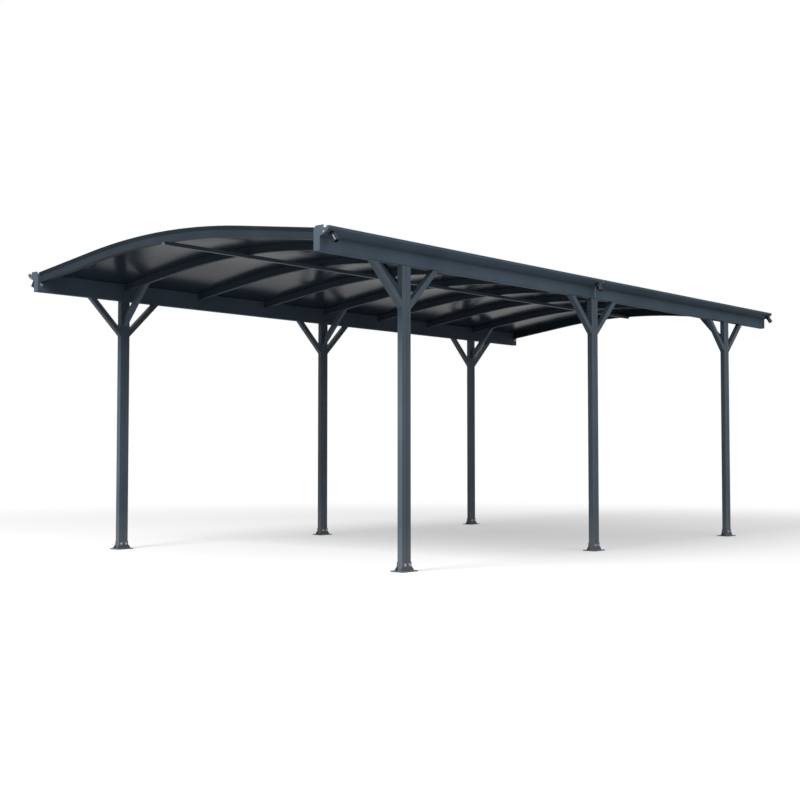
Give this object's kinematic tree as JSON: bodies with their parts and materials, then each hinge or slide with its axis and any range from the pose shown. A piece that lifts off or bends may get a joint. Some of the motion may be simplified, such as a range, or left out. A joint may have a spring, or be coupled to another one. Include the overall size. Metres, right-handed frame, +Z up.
{
  "type": "carport",
  "caption": "Free-standing single carport with slim braced posts, gutter beams along both sides and a low arched roof of tinted sheets on bent ribs.",
  "frame": {"origin": "on the ground at the middle of the bay, half way between the front and rear ends and between the two rows of posts", "axes": "+X across the bay to the right seen from the front, +Y along the bay from front to rear, +Z up"},
  "size_m": [3.101, 6, 2.1851],
  "materials": {
    "post_coat": "satin",
    "foot_coat": "satin",
    "beam_coat": "satin",
    "cap_coat": "satin",
    "arch_coat": "satin",
    "brace_coat": "satin",
    "spout_plastic": "gloss",
    "roof_sheet": "gloss"
  },
  "bodies": {
    "root": {"post_front_left": "post_coat", "post_front_right": "post_coat", "post_middle_left": "post_coat", "post_middle_right": "post_coat", "post_rear_left": "post_coat", "post_rear_right": "post_coat", "foot_front_left": "foot_coat", "foot_front_right": "foot_coat", "foot_middle_left": "foot_coat", "foot_middle_right": "foot_coat", "foot_rear_left": "foot_coat", "foot_rear_right": "foot_coat", "gutter_beam_front_left": "beam_coat", "gutter_beam_rear_left": "beam_coat", "gutter_beam_front_right": "beam_coat", "gutter_beam_rear_right": "beam_coat", "gutter_caps_front": "cap_coat", "gutter_caps_rear": "cap_coat", "spouts_left": "spout_plastic", "spouts_right": "spout_plastic", "end_arch_front": "arch_coat", "end_arch_rear": "arch_coat", "rib_1": "arch_coat", "rib_2": "arch_coat", "rib_3": "arch_coat", "rib_4": "arch_coat", "rib_5": "arch_coat", "rib_6": "arch_coat", "rib_7": "arch_coat", "roof_sheet_1": "roof_sheet", "roof_sheet_2": "roof_sheet", "roof_sheet_3": "roof_sheet", "roof_sheet_4": "roof_sheet", "roof_sheet_5": "roof_sheet", "roof_sheet_6": "roof_sheet", "roof_sheet_7": "roof_sheet", "roof_sheet_8": "roof_sheet", "ridge_purlin_front": "arch_coat", "ridge_purlin_rear": "arch_coat", "beam_braces_left": "brace_coat", "cross_braces_left": "brace_coat", "beam_braces_right": "brace_coat", "cross_braces_right": "brace_coat"}
  },
  "joints": []
}
